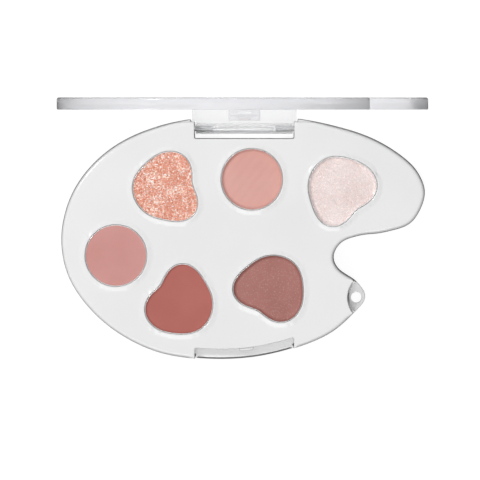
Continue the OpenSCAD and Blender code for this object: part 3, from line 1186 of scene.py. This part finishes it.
dress(make_tray(), "tray_shell", "case_body", "tray")
dress(make_case(), "case_shell", "case_body", "base_case")
lid_shell = make_lid()
dress(lid_shell, "lid_shell", "lid_body", "lid")
for side, name in ((-1, "left"), (1, "right")):
    dress(make_pin(name, side), "pin", "lid_body", f"hinge_pin_{name}")
for number, shade in enumerate(pans):
    dress(make_pan(shade), "pan", "case_body", f"pan_{shade}")
    dress(make_powder(shade, number), shade, "case_body", f"powder_{shade}")

for name, node in frame["nodes"].items():
    if name == "bottom_label" or name.startswith("glue_pad"):
        node.data.materials.clear()
        node.data.materials.append(MATERIALS["label" if name == "bottom_label" else "glue"])


# ---- floor, light and camera

def glowing_white(name, strength, shade):
    """A matt floor paint that also shines a little, so that it stays white."""
    material = bpy.data.materials.new(name)
    material.use_nodes = True
    tree = material.node_tree
    shader = tree.nodes["Principled BSDF"]
    shader.inputs["Base Color"].default_value = (shade, shade, shade, 1)
    shader.inputs["Roughness"].default_value = 0.9
    shader.inputs["Emission Color"].default_value = (1, 1, 1, 1)
    shader.inputs["Emission Strength"].default_value = strength
    return material


def stage_floor(radius, height, material):
    """A round floor whose edge sweeps up into a backdrop."""
    mesh = bpy.data.meshes.new("floor")
    bm = bmesh.new()
    last = None
    sides = 96
    profile = [(0.02, 0), (radius * 0.75, 0)]
    profile += [(radius * (0.75 + 0.25 * math.sin(t)), radius * 0.25 * (1 - math.cos(t)))
                for t in np.linspace(0.15, math.pi / 2, 9)]
    profile += [(radius, height)]
    for r, z in profile:
        now = [bm.verts.new((r * math.cos(2 * math.pi * k / sides),
                             r * math.sin(2 * math.pi * k / sides), z)) for k in range(sides)]
        if last:
            for k in range(sides):
                bm.faces.new((last[k - 1], last[k], now[k], now[k - 1]))
        else:
            bm.faces.new(now)
        last = now
    bm.to_mesh(mesh)
    bm.free()
    obj = put("floor", mesh)
    mesh.materials.append(material)
    return obj


floor = stage_floor(6.0, 6.0, glowing_white("floor_white", strength=0.93, shade=0.12))
floor.location.z = -0.0002
floor.visible_diffuse = False
floor.visible_glossy = False
floor.visible_shadow = False

lid_shell.visible_shadow = False
lid_shell.visible_diffuse = False

world = bpy.data.worlds.new("studio")
scene.world = world
world.use_nodes = True
nodes, links = world.node_tree.nodes, world.node_tree.links
direction = nodes.new("ShaderNodeTexCoord")
split = nodes.new("ShaderNodeSeparateXYZ")
links.new(direction.outputs["Generated"], split.inputs[0])
sky = nodes.new("ShaderNodeValToRGB")
links.new(split.outputs["Z"], sky.inputs[0])
stops = [(0.0, 0.03), (0.3, 0.06), (0.5, 0.42), (0.7, 0.70), (1.0, 0.76)]
sky.color_ramp.elements.remove(sky.color_ramp.elements[1])
for k, (at, value) in enumerate(stops):
    e = sky.color_ramp.elements[0] if k == 0 else sky.color_ramp.elements.new(at)
    e.position, e.color = at, (value, value, value, 1)
links.new(sky.outputs[0], nodes["Background"].inputs[0])


def soft_light(name, place, aim, size, power):
    data = bpy.data.lights.new(name, "AREA")
    data.shape, data.size, data.energy = "DISK", size, power
    light = bpy.data.objects.new(name, data)
    light.location = place
    light.rotation_mode = "QUATERNION"
    light.rotation_quaternion = (Vector(aim) - Vector(place)).to_track_quat("-Z", "Y")
    light.visible_camera = False
    scene.collection.objects.link(light)


middle = (0, 0, 0.01)
soft_light("key", (-0.66, 0.52, 0.86), middle, size=0.24, power=5.9)
soft_light("fill", (-0.10, -0.85, 1.35), middle, size=0.90, power=5.6)

camera_data = bpy.data.cameras.new("camera")
camera_data.sensor_width = 36
camera_data.lens = 522.5
camera_data.dof.use_dof = False
camera = bpy.data.objects.new("camera", camera_data)
scene.collection.objects.link(camera)
place, aim = Vector((-0.0009, 0.041, 2.11)), Vector((-0.0009, -0.0002, 0.010))
back = (place - aim).normalized()
right = Vector((0, 1, 0)).cross(back).normalized()
camera.matrix_world = Matrix.Translation(place) @ Matrix(
    (right, back.cross(right), back)).transposed().to_4x4()
camera_data.clip_start = 0.05
camera_data.clip_end = 30
bpy.context.scene.camera = camera
scene.view_settings.view_transform = "Standard"
# The clear lid is seen edge on, through many reflections inside its plate
scene.cycles.max_bounces = 40
scene.cycles.glossy_bounces = 40
scene.cycles.transmission_bounces = 16

bpy.context.view_layer.update()
